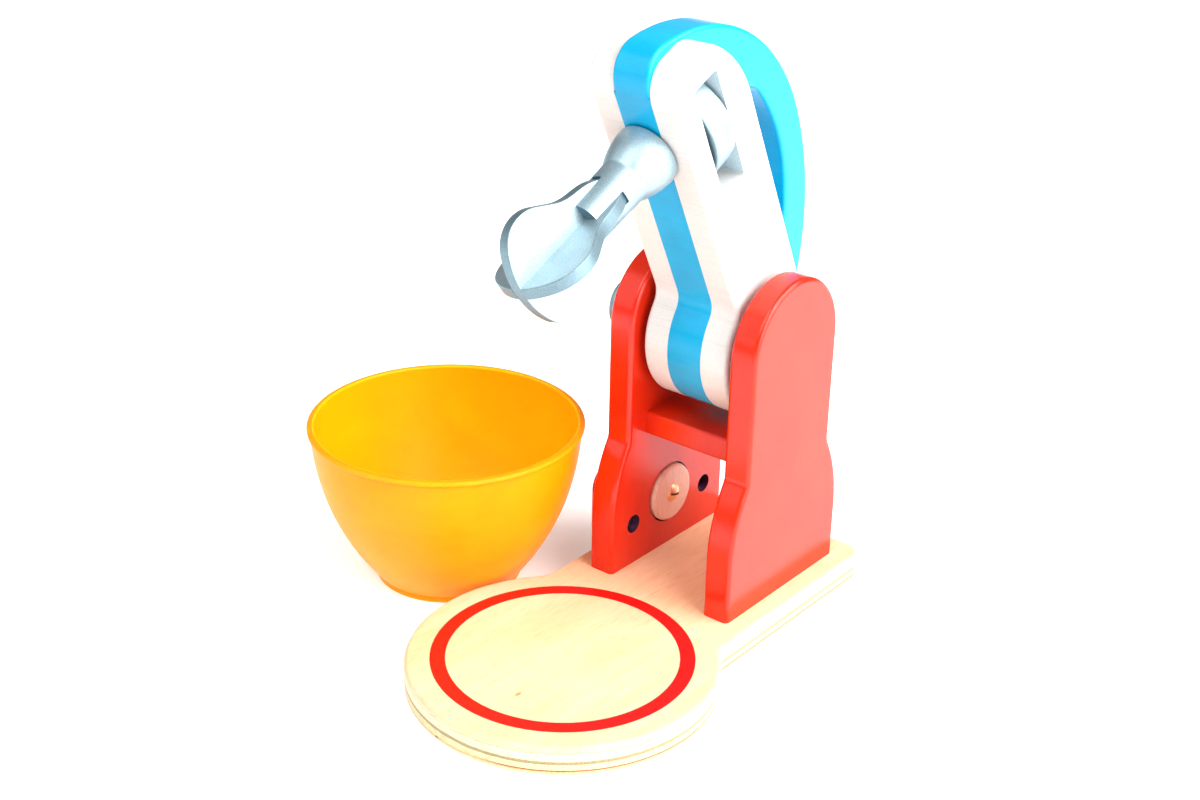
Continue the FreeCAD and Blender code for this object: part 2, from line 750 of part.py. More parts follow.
def opening_outline():
    """The hand opening, from its rear end along the floor."""
    centre = grip_apex_reach - size("opening_centre_setback")
    roof = size("opening_roof_radius")
    centre_y = size("grip_apex_rise") - size("grip_thickness") - roof
    front = size("whisk_reach") - size("opening_front_setback")
    big = size("opening_front_radius")
    corner = size("opening_corner_radius")
    floor = size("heel_radius")
    rear_lean = math.degrees(math.asin((floor + corner - centre_y) / (roof - corner)))
    rear_reach = centre - (roof - corner) * math.cos(math.radians(rear_lean))
    front_lean = math.degrees(math.acos((front - big - centre) / (roof - big)))
    front_y = centre_y + (roof - big) * math.sin(math.radians(front_lean))
    outline = Outline(rear_reach, floor)
    outline.line(front - corner - rear_reach)
    outline.arc(corner, 90.0, "opening_corner_radius")
    outline.line(front_y - floor - corner)
    outline.arc(big, front_lean, "opening_front_radius")
    outline.arc(roof, 180.0 - rear_lean - front_lean, "opening_roof_radius")
    outline.arc(corner, 90.0 + rear_lean, "opening_corner_radius")
    return outline


def wheel_slot():
    """The slot for the thumb wheel, seen from the side of the head."""
    return rounded_rectangle(size("whisk_reach"), size("wheel_level"), 2.0 * slot_half_length,
                             2.0 * slot_half_height, size("slot_corner_radius"), "slot_corner_radius")


def head_core():
    """The middle board with its grip, hand opening, wheel slot and bores.

    Its edges are rounded where it stands clear of the side boards and square where it is flush.
    """
    body = sub_part("PartDesign::Body", "head_core")
    half = size("core_thickness") / 2.0
    outline = new_sketch(body, "core_outline")
    draw_outline(outline, core_outline())
    pad(body, outline, "[core_thickness]", midplane=True)
    opening = new_sketch(body, "hand_opening")
    draw_outline(opening, opening_outline())
    pocket(body, opening, "2 * [core_thickness]", midplane=True)
    round_edges(body, edges_at("Z", -half, half), "[core_edge_radius]")
    flush = new_sketch(body, "core_flush_area")
    draw_outline(flush, square_outline())
    pad(body, flush, "[core_thickness]", midplane=True)
    slot = new_sketch(body, "core_wheel_slot")
    draw_outline(slot, wheel_slot())
    pocket(body, slot, "2 * [core_thickness]", midplane=True)
    hinge = new_sketch(body, "core_hinge_bore")
    draw_circle(hinge, 0.0, 0.0, "[hinge_peg_diameter]")
    pocket(body, hinge, "2 * [core_thickness]", midplane=True)
    axle = new_sketch(body, "axle_bore", "XZ_Plane", size("underside_drop"))
    draw_circle(axle, size("whisk_reach"), 0.0, "[axle_diameter] + 2 * [bearing_clearance]")
    pocket(body, axle, "[underside_drop] + [wheel_level] + [wheel_thickness] / 2 + [slot_side_clearance]"
                       " + [axle_depth_above_slot] + [bore_end_clearance]")
    place(body, pivot, head_rotation)


def head_panel(label, side):
    """One side board, glued to the middle board. Side is 1 for the left and -1 for the right."""
    body = sub_part("PartDesign::Body", label)
    near = side * size("core_thickness") / 2.0
    far = side * head_half
    outline = new_sketch(body, f"{label}_outline", "XY_Plane", min(near, far))
    draw_outline(outline, panel_outline())
    pad(body, outline, "[panel_thickness]")
    round_edges(body, edges_at("Z", far), "[panel_edge_radius]")
    slot = new_sketch(body, f"{label}_wheel_slot", "XY_Plane", far)
    draw_outline(slot, wheel_slot())
    pocket(body, slot, "[panel_thickness]", reverse=side < 0)
    hinge = new_sketch(body, f"{label}_hinge_bore", "XY_Plane", far)
    draw_circle(hinge, 0.0, 0.0, "[hinge_peg_diameter]")
    pocket(body, hinge, "[panel_thickness]", reverse=side < 0)
    place(body, pivot, head_rotation)


def turned_knob(label, sizes, position, rotation):
    """A turned knob along its own +Z, with a socket in its near face for its peg."""
    diameter, length, edge, socket_diameter, socket_depth = sizes
    body = sub_part("PartDesign::Body", label)
    disc = new_sketch(body, f"{label}_face")
    draw_circle(disc, 0.0, 0.0, diameter)
    blank = pad(body, disc, length)
    round_edges(body, edges_at("Z", blank.Length.Value), edge)
    socket = new_sketch(body, f"{label}_socket")
    draw_circle(socket, 0.0, 0.0, socket_diameter)
    pocket(body, socket, socket_depth, reverse=True)
    place(body, position, rotation)


def hinge():
    """The hinge peg, its knob, and a spacer ring on each side of the head."""
    start = cheek_inner + size("hinge_peg_blind_depth")
    length = ("[cheek_gap] + [hinge_peg_blind_depth] + [cheek_thickness] + [knob_standoff]"
              " + [hinge_knob_grip_depth]")
    cylinder("hinge_peg", "[hinge_peg_diameter]", length, Vector(start, pivot.y, pivot.z), turned_left)
    knob = ("[hinge_knob_diameter]", "[hinge_knob_length]", "[hinge_knob_edge_radius]",
            "[hinge_peg_diameter]", "[hinge_knob_grip_depth]")
    outside = -cheek_outer - size("knob_standoff")
    turned_knob("hinge_knob", knob, Vector(outside, pivot.y, pivot.z), turned_left)
    for side, name in ((-1, "left"), (1, "right")):
        body = sub_part("PartDesign::Body", f"hinge_spacer_{name}")
        ring = new_sketch(body, f"spacer_ring_{name}")
        draw_circle(ring, 0.0, 0.0, "[spacer_diameter]")
        draw_circle(ring, 0.0, 0.0, "[hinge_peg_diameter]")
        gap = "([cheek_gap] - [core_thickness]) / 2 - [panel_thickness] - [side_clearance]"
        pad(body, ring, gap)
        rotation = turned_left if side < 0 else turned_right
        place(body, Vector(side * head_half, pivot.y, pivot.z), rotation)


# ---------------------------------------------------------------------------------------------
# Whisk: wheel, axle, turned spindle with crossed slots, and two halved boards.
# ---------------------------------------------------------------------------------------------

def thumb_wheel():
    body = sub_part("PartDesign::Body", "thumb_wheel")
    level = -size("wheel_level") - wheel_half
    disc = new_sketch(body, "wheel_disc", "XY_Plane", level)
    draw_circle(disc, 0.0, 0.0, "[wheel_diameter]")
    draw_circle(disc, 0.0, 0.0, "[axle_diameter]")
    pad(body, disc, "[wheel_thickness]")
    radius = size("wheel_diameter") / 2.0
    flat = edges_at("Z", level, -size("wheel_level") + wheel_half)
    round_edges(body, lambda edge: flat(edge) and edge.BoundBox.XMax > radius - 0.1, "[wheel_edge_radius]")
    place(body, whisk_foot, whisk_rotation)


def whisk_axle():
    """The dowel that carries wheel and spindle in the middle board."""
    top = size("wheel_level") + slot_half_height + size("axle_depth_above_slot")
    length = ("[axle_depth_above_slot] + [wheel_level] + [wheel_thickness] / 2 + [slot_side_clearance]"
              " + [underside_drop] + [spindle_gap] + [axle_depth_in_spindle]")
    cylinder("whisk_axle", "[axle_diameter]", length, whisk_foot - whisk_down * top, whisk_rotation)


def whisk_spindle():
    """The turned spindle: bell under the head, slim shaft, crossed slots for the boards."""
    bell = size("bell_radius")
    edge = size("bell_edge_radius")
    shaft_top = size("shaft_top_radius")
    shaft_end = size("shaft_end_radius")
    bore = size("axle_diameter") / 2.0
    bell_end = bell_top + size("bell_length")
    profile = Outline(bore, bell_top, 90.0)
    profile.line_to(bore, bell_top + size("axle_depth_in_spindle"))
    profile.line_to(0.0, bell_top + size("axle_depth_in_spindle"))
    profile.line_to(0.0, spindle_end)
    profile.line_to(shaft_end, spindle_end)
    profile.line_to(shaft_top, bell_end)
    profile.arc_to(bell, bell_top + edge, size("bell_side_radius"), -1.0, "bell_side_radius")
    profile.arc_to(bell - edge, bell_top, edge, -1.0, "bell_edge_radius")
    profile.line_to(bore, bell_top)
    body = sub_part("PartDesign::Body", "whisk_spindle")
    sketch = new_sketch(body, "spindle_profile", "XZ_Plane")
    draw_outline(sketch, profile)
    revolve(body, sketch)
    round_edges(body, edges_at("Z", bell_end), "[bell_shoulder_radius]")
    width = size("board_thickness")
    for name, length_x, length_y in (("first", 3.0 * shaft_top, width), ("second", width, 3.0 * shaft_top)):
        slot = new_sketch(body, f"{name}_board_slot", "XY_Plane", spindle_end)
        rectangle = Outline(-length_x / 2.0, -length_y / 2.0)
        rectangle.line_to(length_x / 2.0, -length_y / 2.0)
        rectangle.line_to(length_x / 2.0, length_y / 2.0)
        rectangle.line_to(-length_x / 2.0, length_y / 2.0)
        rectangle.line_to(-length_x / 2.0, -length_y / 2.0)
        draw_outline(slot, rectangle)
        pocket(body, slot, "[board_slot_depth]")
    place(body, whisk_foot, whisk_rotation)


def board_outline():
    """Half of a whisk board is walked from its tip up to its tang; the other half mirrors it."""
    tip = size("board_tip_radius")
    hip = size("board_hip_radius")
    shoulder = size("board_shoulder_radius")
    widest = size("board_half_width")
    lean = math.degrees(math.asin((widest - hip) / (tip - hip)))
    outline = Outline(0.0, board_tip)
    outline.arc(tip, -lean, "board_tip_radius")
    outline.arc(hip, lean - 90.0, "board_hip_radius")
    outline.arc(shoulder, -size("board_shoulder_turn"), "board_shoulder_radius")
    outline.line(size("board_flare_length"))
    outline.arc(size("board_waist_radius"), size("board_waist_turn"), "board_waist_radius")
    outline.line(size("board_neck_length"))
    left_over = outline.at[1] - board_top
    neck = size("board_neck_radius")
    turned = math.degrees(math.acos(math.cos(math.radians(outline.heading)) - left_over / neck))
    outline.arc(neck, -turned - outline.heading, "board_neck_radius")
    return outline


def mirrored(outline):
    """The whole board: the walked half, the tang's end, and the half mirrored back to the tip."""
    half = list(outline.pieces)
    outline.line_to(-outline.at[0], outline.at[1])
    for piece in reversed(half):
        start = (-piece[2][0], piece[2][1])
        end = (-piece[1][0], piece[1][1])
        if piece[0] == "line":
            outline.pieces.append(("line", start, end))
            continue
        centre, radius, first, last, alias = piece[3:]
        flipped = (math.pi - last, math.pi - first)
        outline.pieces.append(("arc", start, end, (-centre[0], centre[1]), radius, *flipped, alias))
    outline.at = outline.start
    return outline


def whisk_board(label, quarter_turn, notch_from, notch_to):
    """One flat board, notched over half its length where it crosses the other."""
    body = sub_part("PartDesign::Body", label)
    sketch = new_sketch(body, f"{label}_outline", "XZ_Plane")
    draw_outline(sketch, mirrored(board_outline()))
    pad(body, sketch, "[board_thickness]", midplane=True)
    half = size("board_thickness") / 2.0
    flat = edges_at("Y", -half, half)
    round_edges(body, lambda edge: flat(edge) and edge.BoundBox.ZMax > board_top + 0.1, "[board_edge_radius]")
    notch = new_sketch(body, f"{label}_notch", "XZ_Plane")
    rectangle = Outline(-half, notch_from)
    rectangle.line_to(half, notch_from)
    rectangle.line_to(half, notch_to)
    rectangle.line_to(-half, notch_to)
    rectangle.line_to(-half, notch_from)
    draw_outline(notch, rectangle)
    pocket(body, notch, "3 * [board_thickness]", midplane=True)
    about_axis = FreeCAD.Rotation(Vector(0, 0, 1), 90.0 * quarter_turn)
    place(body, whisk_foot, whisk_rotation.multiply(about_axis))


# ---------------------------------------------------------------------------------------------
# Speed dial on the left cheek.
# ---------------------------------------------------------------------------------------------

def plate_screw_places():
    """Where the two screws of the dial plate sit."""
    z = dial_z - size("plate_screw_drop")
    spread = size("dial_plate_length") / 2.0 - size("plate_screw_inset")
    return [(cheek_y - spread, z), (cheek_y + spread, z)]


def dial_plate():
    """The flat plate behind the knob, held by two screws from inside the cheek."""
    body = sub_part("PartDesign::Body", "dial_plate")
    thickness = size("dial_plate_thickness")
    outside = -cheek_outer - thickness
    sketch = new_sketch(body, "dial_plate_outline", "YZ_Plane", outside)
    draw_outline(sketch, rounded_rectangle(dial_y, dial_z, size("dial_plate_length"), size("dial_plate_height"),
                                           size("dial_plate_corner_radius"), "dial_plate_corner_radius"))
    pad(body, sketch, "[dial_plate_thickness]")
    round_edges(body, edges_at("X", outside), "[dial_plate_edge_radius]")
    bore = new_sketch(body, "dial_plate_bore", "YZ_Plane", outside)
    draw_circle(bore, dial_y, dial_z, "[dial_spindle_diameter] + 2 * [bearing_clearance]")
    pocket(body, bore, "[dial_plate_thickness]", reverse=True)
    pilots = new_sketch(body, "dial_plate_pilots", "YZ_Plane", -cheek_outer)
    for y, z in plate_screw_places():
        draw_circle(pilots, y, z, "[plate_screw_diameter]")
    pocket(body, pilots, "[plate_screw_grip]")


def dial_plate_screws():
    """Two pan-head screws sunk in the cheek's counterbores."""
    sizes = ("[plate_screw_diameter]", "([cheek_thickness] - [plate_screw_bore_depth] + [plate_screw_grip])",
             "[plate_screw_head_diameter]", "[plate_screw_head_height]")
    floor = -cheek_inner - size("plate_screw_bore_depth")
    for name, (y, z) in zip(("front", "rear"), plate_screw_places()):
        screw(f"dial_plate_screw_{name}", sizes, Vector(floor, y, z), turned_left)


def dial():
    """Knob outside, spindle through the cheek, disc in the recess, screw through the disc."""
    floor = -cheek_inner - size("dial_recess_depth") + size("dial_recess_floor_clearance")
    knob_face = -cheek_outer - size("dial_plate_thickness") - size("knob_standoff")
    length = ("[cheek_thickness] - [dial_recess_depth] + [dial_recess_floor_clearance]"
              " + [dial_plate_thickness] + [knob_standoff] + [dial_knob_socket_depth]")
    spindle = sub_part("PartDesign::Body", "dial_spindle")
    disc = new_sketch(spindle, "dial_spindle_section")
    draw_circle(disc, 0.0, 0.0, "[dial_spindle_diameter]")
    pad(spindle, disc, length)
    pilot = new_sketch(spindle, "dial_spindle_pilot")
    draw_circle(pilot, 0.0, 0.0, "[dial_screw_diameter]")
    depth = ("[dial_screw_length] - [dial_recess_depth] + [dial_recess_floor_clearance] - [dial_disc_proud]")
    pocket(spindle, pilot, depth, reverse=True)
    place(spindle, Vector(floor, dial_y, dial_z), turned_left)
    knob = ("[dial_knob_diameter]", "[dial_knob_length]", "[dial_knob_edge_radius]",
            "[dial_spindle_diameter]", "[dial_knob_socket_depth]")
    turned_knob("dial_knob", knob, Vector(knob_face, dial_y, dial_z), turned_left)

    disc_body = sub_part("PartDesign::Body", "dial_disc")
    face = new_sketch(disc_body, "dial_disc_face")
    draw_circle(face, 0.0, 0.0, "[dial_disc_diameter]")
    thickness = "[dial_recess_depth] - [dial_recess_floor_clearance] + [dial_disc_proud]"
    blank = pad(disc_body, face, thickness)
    top = blank.Length.Value
    round_edges(disc_body, edges_at("Z", top), "[dial_disc_edge_radius]")
    bore = new_sketch(disc_body, "dial_disc_bore")
    draw_circle(bore, 0.0, 0.0, "[dial_screw_diameter]")
    pocket(disc_body, bore, "2 * [cheek_thickness]", midplane=True)
    place(disc_body, Vector(floor, dial_y, dial_z), turned_right)

    sizes = ("[dial_screw_diameter]", "[dial_screw_length]", "[dial_screw_head_diameter]",
             "[dial_screw_head_height]")
    slot = ("[dial_screw_slot_width]", "[dial_screw_slot_depth]")
    turn = FreeCAD.Rotation(Vector(0, 0, 1), size("dial_screw_turn_angle"))
    screw("dial_screw", sizes, Vector(floor + top, dial_y, dial_z), turned_left.multiply(turn), domed=True,
          slot=slot)


# ---------------------------------------------------------------------------------------------
# Bowl.
# ---------------------------------------------------------------------------------------------

def bowl():
    """A moulded bowl, turned about its own axis: foot ring, curved side, beaded rim."""
    side = size("bowl_side_radius")
    inner = side - size("bowl_wall")
    centre_y = size("bowl_side_centre_rise")
    bead = size("bowl_bead_radius")
    top = size("bowl_height")
    neck = top - 2.0 * bead
    neck_x = size("bowl_rim_radius") - bead
    centre_x = neck_x - math.sqrt(side ** 2 - (centre_y - neck) ** 2)
    foot = size("bowl_foot_radius")
    foot_top = size("bowl_foot_height")
    floor = size("bowl_floor_rise")
    corner = size("bowl_floor_corner_radius")

    def reach(radius, height):
        """How far from the axis a side of this radius is at a height."""
        return centre_x + math.sqrt(radius ** 2 - (centre_y - height) ** 2)

    corner_x = reach(inner - corner, floor + corner)
    slant = math.atan2(floor + corner - centre_y, corner_x - centre_x)
    profile = Outline(0.0, size("bowl_foot_recess"))
    profile.line_to(foot - size("bowl_foot_width"), size("bowl_foot_recess"))
    profile.line_to(foot - size("bowl_foot_width"), 0.0)
    profile.line_to(foot, 0.0)
    profile.line_to(foot, foot_top)
    profile.line_to(reach(side, foot_top), foot_top)
    profile.arc_to(neck_x, neck, side, 1.0, "bowl_side_radius")
    profile.turn(-profile.heading)
    profile.arc(bead, 180.0, "bowl_bead_radius")
    profile.line_to(reach(inner, top), top)
    profile.arc_to(centre_x + inner * math.cos(slant), centre_y + inner * math.sin(slant), inner, -1.0)
    profile.arc_to(corner_x, floor, corner, -1.0, "bowl_floor_corner_radius")
    profile.line_to(0.0, floor)
    profile.line_to(0.0, size("bowl_foot_recess"))
    body = sub_part("PartDesign::Body", "bowl")
    sketch = new_sketch(body, "bowl_profile", "XZ_Plane")
    draw_outline(sketch, profile)
    revolve(body, sketch)
    rim = edges_at("Z", top)
    round_edges(body, lambda edge: rim(edge) and edge.BoundBox.XMax < neck_x - bead / 2.0, "[bowl_lip_radius]")
    place(body, Vector(size("bowl_x"), size("bowl_y"), 0.0))


# ---------------------------------------------------------------------------------------------
# The whole mixer.
# ---------------------------------------------------------------------------------------------

base_plate()
dial_bores(cheek("left_cheek", -1))
cheek("right_cheek", 1)
cheek_screws()
crossbar()
crossbar_dowels()
head_core()
head_panel("left_head_panel", 1)
head_panel("right_head_panel", -1)
hinge()
whisk_spindle()
whisk_axle()
thumb_wheel()
halving = board_top + size("board_halving_depth")
whisk_board("whisk_board_a", 0, board_top - 1.0, halving)
whisk_board("whisk_board_b", 1, halving, board_tip + 1.0)
dial_plate()
dial_plate_screws()
dial()
bowl()
doc.recompute()

for item in doc.Objects:
    if "Invalid" in item.State or "Error" in item.State:
        raise RuntimeError(f"{item.Label} is not sound: {item.State}")
for item in SUB_PARTS:
    if item.Shape.isNull() or not item.Shape.isValid():
        raise RuntimeError(f"{item.Label} has no valid shape")
os.makedirs("parts", exist_ok=True)
for item in SUB_PARTS:
    item.Shape.exportStep(f"parts/{item.Label}.step")
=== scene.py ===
import math

import bpy
from mathutils import Matrix, Vector


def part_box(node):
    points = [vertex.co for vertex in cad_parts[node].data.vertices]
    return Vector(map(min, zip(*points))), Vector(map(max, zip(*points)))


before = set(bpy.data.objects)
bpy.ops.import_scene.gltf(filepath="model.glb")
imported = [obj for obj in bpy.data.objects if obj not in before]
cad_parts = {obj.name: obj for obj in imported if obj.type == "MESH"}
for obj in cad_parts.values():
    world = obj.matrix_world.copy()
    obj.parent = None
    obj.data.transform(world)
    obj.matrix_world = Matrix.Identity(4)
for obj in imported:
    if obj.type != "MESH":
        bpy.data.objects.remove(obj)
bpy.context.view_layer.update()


# ---------------------------------------------------------------------------------------------
# Base plate. Five plies of birch, 12 mm in all, cut out with a router and rounded over, sanded
# and given a thin clear lacquer. A red ring is screen printed on the round end as the bowl's
# place, and the cheeks are screwed on from below.
# ---------------------------------------------------------------------------------------------

def linear(colour):
    """A linear colour from an sRGB hex value."""
    channels = [int(colour[i:i + 2], 16) / 255.0 for i in (1, 3, 5)]
    return [c / 12.92 if c <= 0.04045 else ((c + 0.055) / 1.055) ** 2.4 for c in channels] + [1.0]


def feed(node, values):
    """Fill the inputs of a node: another node's output is linked, all else is a constant.

    Inputs that share a name go by number: a Mix has its factor at 0 and its colours at 6 and 7.
    """
    for name, value in values.items():
        if isinstance(value, bpy.types.NodeSocket):
            node.id_data.links.new(value, node.inputs[name])
        else:
            node.inputs[name].default_value = value


def add(tree, kind, values, stops=(), take=None, **settings):
    """One shader node with its settings, inputs and colour stops. Gives the output in use."""
    node = tree.nodes.new(f"ShaderNode{kind}")
    for name, setting in settings.items():
        setattr(node, name, setting)
    feed(node, values)
    for number, (position, colour) in enumerate(stops):
        band = node.color_ramp.elements
        stop = band[number] if number < len(band) else band.new(position)
        stop.position = position
        stop.color = linear(colour)
    return node.outputs[take] if take else next(out for out in node.outputs if out.enabled)


def new_finish(name):
    """A new material: its node tree, its surface shader and the place on the toy in metres."""
    material = bpy.data.materials.new(name)
    material.use_nodes = True
    tree = material.node_tree
    return material, tree, tree.nodes["Principled BSDF"], add(tree, "TexCoord", {}, take="Object")


def paint_over(material, where, tone, blend_type="MIX"):
    """Lay a tone over the colour that a finish has so far, where the mask is one."""
    base = material.node_tree.nodes["Principled BSDF"].inputs["Base Color"]
    skin = add(material.node_tree, "Mix", {0: where, 6: base.links[0].from_socket, 7: tone},
               data_type="RGBA", blend_type=blend_type)
    material.node_tree.links.new(skin, base)


def dress(material, *names):
    """Give a finish to the solids with these names."""
    for name in names:
        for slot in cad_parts[name].material_slots:
            slot.material = material


def birch_plywood():
    """Pale birch under thin clear lacquer: a fine long grain on top, five plies at the edge.

    The eye reads it by the soft cream colour, the short pores along the plate and the thin
    brown glue lines round the rim. Pores are 0.2 mm wide and are drawn 0.5 mm wide to show.
    """
    material, tree, shader, place = new_finish("birch_plywood_clear_lacquer")
    to_right = add(tree, "SeparateXYZ", {"Vector": place}, take="X")
    up = add(tree, "SeparateXYZ", {"Vector": place}, take="Z")
    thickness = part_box("base_plate")[1].z

    # The faces: growth figure in long bands, over wide patches, with pores along the plate.
    cell = add(tree, "VectorMath", {0: place, 1: (0.0005, 0.009, 0.0005)}, operation="DIVIDE")
    pores = add(tree, "TexNoise", {"Vector": cell, "Scale": 1.0, "Detail": 3.0})
    cell = add(tree, "VectorMath", {0: place, 1: (0.006, 0.065, 0.006)}, operation="DIVIDE")
    figure = add(tree, "TexNoise", {"Vector": cell, "Scale": 1.0, "Detail": 4.0, "Distortion": 0.7})
    cell = add(tree, "VectorMath", {0: place, 1: (0.045, 0.085, 0.045)}, operation="DIVIDE")
    patches = add(tree, "TexNoise", {"Vector": cell, "Scale": 1.0, "Detail": 2.0})
    figure_tone = add(tree, "ValToRGB", {"Fac": figure},
                      [(0.28, "#E7BB93"), (0.46, "#EBC09A"), (0.72, "#F0C8A6")])
    patch_tone = add(tree, "ValToRGB", {"Fac": patches},
                     [(0.30, "#FDF8EC"), (0.50, "#FFFFFF"), (0.75, "#FFFCF2")])
    pore_tone = add(tree, "ValToRGB", {"Fac": pores},
                    [(0.28, "#CDB588"), (0.42, "#F4EFE4"), (0.70, "#FFFFFF")])
    face = add(tree, "Mix", {0: 1.0, 6: figure_tone, 7: patch_tone},
               data_type="RGBA", blend_type="MULTIPLY")
    face = add(tree, "Mix", {0: 0.5, 6: face, 7: pore_tone}, data_type="RGBA", blend_type="MULTIPLY")

    # The edge, from 0 below to 1 at the top: outer veneer, cross ply, middle ply, cross ply,
    # outer veneer. Cross plies show end grain, which drinks the lacquer and turns darker.
    waviness = 0.024
    cell = add(tree, "VectorMath", {0: place, 1: (0.022, 0.022, 0.022)}, operation="DIVIDE")
    waver = add(tree, "TexNoise", {"Vector": cell, "Scale": 1.0})
    level = add(tree, "Math", {0: up, 1: 1.0 / thickness, 2: -waviness / 2}, operation="MULTIPLY_ADD")
    level = add(tree, "Math", {0: waver, 1: waviness, 2: level}, operation="MULTIPLY_ADD")
    plies = add(tree, "ValToRGB", {"Fac": level},
                [(0.000, "#E2C896"), (0.125, "#DDC290"), (0.134, "#B48C5C"), (0.156, "#C09C6C"),
                 (0.168, "#DCC494"), (0.392, "#DECA9C"), (0.404, "#93835A"), (0.505, "#A18F66"),
                 (0.518, "#E4D5AE"), (0.772, "#E6D8B4"), (0.782, "#AC8C5E"), (0.802, "#DCC89C"),
                 (1.000, "#E2CCA0")])
    cell = add(tree, "VectorMath", {0: place, 1: (0.009, 0.0005, 0.0005)}, operation="DIVIDE")
    cross_pores = add(tree, "TexNoise", {"Vector": cell, "Scale": 1.0, "Detail": 3.0})
    cross_tone = add(tree, "ValToRGB", {"Fac": cross_pores}, [(0.32, "#C3AE86"), (0.55, "#FFFFFF")])
    edge = add(tree, "Mix", {0: 0.65, 6: plies, 7: cross_tone},
               data_type="RGBA", blend_type="MULTIPLY")

    # The glue has bled reddish brown just above its lowest line, along the right of the rim.
    bled_level, starts, full = 0.185, 0.004, 0.020
    off_line = add(tree, "Math", {0: level, 1: bled_level}, operation="SUBTRACT")
    off_line = add(tree, "Math", {0: off_line}, operation="ABSOLUTE")
    on_line = add(tree, "MapRange", {"Value": off_line, "From Min": 0.026, "From Max": 0.012})
    right_part = add(tree, "MapRange", {"Value": to_right, "From Min": starts, "From Max": full})
    bled = add(tree, "Math", {0: on_line, 1: right_part}, operation="MULTIPLY")
    edge = add(tree, "Mix", {0: bled, 6: edge, 7: linear("#7C2C12")}, data_type="RGBA")

    # The upper rounding turns from edge to face. Pores open the lacquer a little.
    on_face = add(tree, "MapRange", {"Value": level, "From Min": 0.80, "From Max": 0.93})
    wood = add(tree, "Mix", {0: on_face, 6: edge, 7: face}, data_type="RGBA")
    relief = add(tree, "Mix", {0: on_face, 2: cross_pores, 3: pores}, data_type="FLOAT")
    bump = add(tree, "Bump", {"Height": relief, "Strength": 0.25, "Distance": 0.0001})
    haze = add(tree, "MapRange", {"Value": pores, "To Min": 0.50, "To Max": 0.38})
    feed(shader, {"Base Color": wood, "Roughness": haze, "Normal": bump, "IOR": 1.48})

    # Marks in the wood are ovals, each with its middle, its radii, the part of them at full
    # strength, that strength and its tone: a reddish pin knot in the top veneer, its trail along
    # the grain, and a brown fleck in the rim where a splinter of the bottom veneer came out.
    pin_knot, fleck = (0.0049, -0.0312, 0.012), (-0.0095, -0.0600, 0.0018)
    marks = [
        (pin_knot, (0.000846, 0.002115, 0.0044), 0.364, 0.85, "#A04A2C"),
        (pin_knot, (0.001429, 0.009091, 0.0100), 0.200, 0.30, "#CFA672"),
        (fleck, (0.001438, 0.001438, 0.000767), 0.217, 0.90, "#301C14")]
    for middle, radii, core, strength, tone in marks:
        off = add(tree, "VectorMath", {0: place, 1: middle}, operation="SUBTRACT")
        oval = add(tree, "VectorMath", {0: off, 1: radii}, operation="DIVIDE")
        reach = add(tree, "VectorMath", {0: oval}, operation="LENGTH")
        spot = add(tree, "MapRange", {"Value": reach, "From Min": core, "From Max": 1.0,
                                      "To Min": strength, "To Max": 0.0},
                   interpolation_type="SMOOTHSTEP")
        paint_over(material, spot, linear(tone))

    # The printed ring lies round the middle of the round end. Its ink creeps up to 0.2 mm along
    # the pores at its edges.
    inner_edge, outer_edge, creep_reach, softness = 0.045, 0.051, 0.0002, 0.00005
    half_width = (outer_edge - inner_edge) / 2
    flat = add(tree, "VectorMath", {0: place, 1: (1.0, 1.0, 0.0)}, operation="MULTIPLY")
    reach = add(tree, "VectorMath", {0: flat}, operation="LENGTH")
    cell = add(tree, "VectorMath", {0: place, 1: (0.0012, 0.0012, 0.0012)}, operation="DIVIDE")
    creep = add(tree, "TexNoise", {"Vector": cell, "Scale": 1.0})
    reach = add(tree, "Math", {0: creep, 1: creep_reach, 2: reach}, operation="MULTIPLY_ADD")
    ring_middle = (inner_edge + outer_edge + creep_reach) / 2
    off_ring = add(tree, "Math", {0: reach, 1: ring_middle}, operation="SUBTRACT")
    off_ring = add(tree, "Math", {0: off_ring}, operation="ABSOLUTE")
    in_ring = add(tree, "MapRange", {"Value": off_ring, "From Min": half_width + softness,
                                     "From Max": half_width - softness})
    on_top = add(tree, "Math", {0: up, 1: thickness - 0.0002}, operation="GREATER_THAN")
    printed = add(tree, "Math", {0: in_ring, 1: on_top}, operation="MULTIPLY")
    ink = add(tree, "ValToRGB", {"Fac": pores},
              [(0.25, "#B60706"), (0.45, "#D10906"), (0.75, "#D90C08")])
    paint_over(material, printed, ink)
    return material


dress(birch_plywood(), "base_plate")


# ---------------------------------------------------------------------------------------------
# Cheeks, crossbar and dial plate. Birch plywood boards, routed to shape with rounded edges, then
# filled, sprayed with two coats of red lacquer and left half glossy. The crossbar sits on four
# dowels between the cheeks; the dial plate is screwed on the left cheek from inside.
# ---------------------------------------------------------------------------------------------

